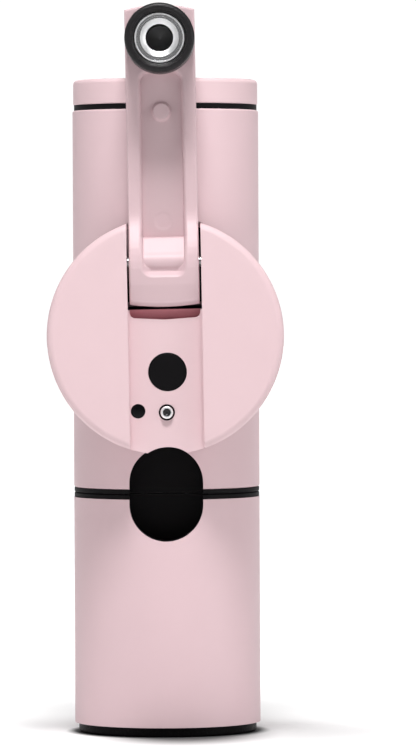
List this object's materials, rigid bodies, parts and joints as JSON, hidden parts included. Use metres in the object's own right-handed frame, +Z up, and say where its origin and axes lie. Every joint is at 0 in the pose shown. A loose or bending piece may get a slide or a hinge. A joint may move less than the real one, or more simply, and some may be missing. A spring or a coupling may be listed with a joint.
{
  "type": "selfie stick",
  "caption": "Cylindrical selfie stick with a telescopic pole inside its grip, a turning disc, and a folding arm with a threaded camera socket.",
  "frame": {"origin": "centre of the foot's underside, on the grip's axis", "axes": "+Z up along the grip, -Y the front with the disc and arm, +X to the right seen from the front"},
  "size_m": [0.058, 0.063, 0.1803],
  "materials": {
    "pink_shell": "fine matt pink paint",
    "pink_disc": "fine matt pink paint, slightly lighter",
    "pink_arm": "fine matt pink paint",
    "black_rubber": "matt",
    "black_plastic": "fine matt texture",
    "black_gloss": "smooth",
    "nickel": "turned and plated",
    "steel": "turned",
    "pole_metal": "satin anodised",
    "brass": "turned",
    "magnet": "nickel plated",
    "board": "solder mask",
    "grey_plastic": "moulded"
  },
  "bodies": {
    "grip": {"base_foot": "black_rubber", "base_plate": "grey_plastic", "base_screws": "steel", "lower_shell": "pink_shell", "lower_seam_ring": "black_plastic", "recess_liner_lower": "black_plastic", "pole_tube_1": "pole_metal", "pole_collar_1": "black_plastic"},
    "pole_2": {"pole_tube_2": "pole_metal", "pole_collar_2": "black_plastic"},
    "pole_3": {"pole_tube_3": "pole_metal", "pole_collar_3": "black_plastic"},
    "pole_4": {"pole_tube_4": "pole_metal", "pole_collar_4": "black_plastic"},
    "head": {"pole_tube_5": "pole_metal", "head_bulkhead": "grey_plastic", "bulkhead_screws": "steel", "upper_shell": "pink_shell", "upper_seam_ring": "black_plastic", "recess_liner_upper": "black_plastic", "tail_pocket_liner": "black_plastic", "neck_ring": "black_plastic", "top_cap": "pink_disc", "axle_bush": "brass"},
    "disc": {"disc_front": "pink_disc", "disc_back_cover": "black_plastic", "cover_screws": "steel", "phone_magnets": "magnet", "coin_cell": "steel", "circuit_board": "board", "dome_switch": "steel", "indicator_window": "black_gloss", "latch_post": "nickel", "hinge_pin": "steel", "disc_axle": "steel", "wave_washer": "steel", "axle_nut": "steel"},
    "button": {"shutter_button": "black_plastic"},
    "arm": {"swing_arm": "pink_arm", "latch_keeper": "pink_arm", "rubber_ring": "black_rubber", "camera_socket": "nickel"}
  },
  "joints": [
    {"name": "pole_2_slide", "type": "slide", "parent": "grip", "child": "pole_2", "axis": [0, 0, 1], "range_m": [0, 0.11]},
    {"name": "pole_3_slide", "type": "slide", "parent": "pole_2", "child": "pole_3", "axis": [0, 0, 1], "range_m": [0, 0.11]},
    {"name": "pole_4_slide", "type": "slide", "parent": "pole_3", "child": "pole_4", "axis": [0, 0, 1], "range_m": [0, 0.11]},
    {"name": "head_slide", "type": "slide", "parent": "pole_4", "child": "head", "axis": [0, 0, 1], "range_m": [0, 0.11]},
    {"name": "disc_turn", "type": "hinge", "parent": "head", "child": "disc", "pos_m": [0, -0.0234, 0.0991], "axis": [0, -1, 0], "range_deg": [-90.85, 89.15]},
    {"name": "arm_fold", "type": "hinge", "parent": "disc", "child": "arm", "pos_m": [-0.00027, -0.028, 0.1173], "axis": [0.9999, 0, 0.0148], "range_deg": [0, 180]},
    {"name": "shutter_press", "type": "slide", "parent": "disc", "child": "button", "axis": [0, 1, 0], "range_m": [0, 0.0004], "stiffness_N_per_m": 800}
  ],
  "couplings": [
    {"joint": "pole_2_slide", "follows": "head_slide", "ratio": 1},
    {"joint": "pole_3_slide", "follows": "head_slide", "ratio": 1},
    {"joint": "pole_4_slide", "follows": "head_slide", "ratio": 1}
  ]
}
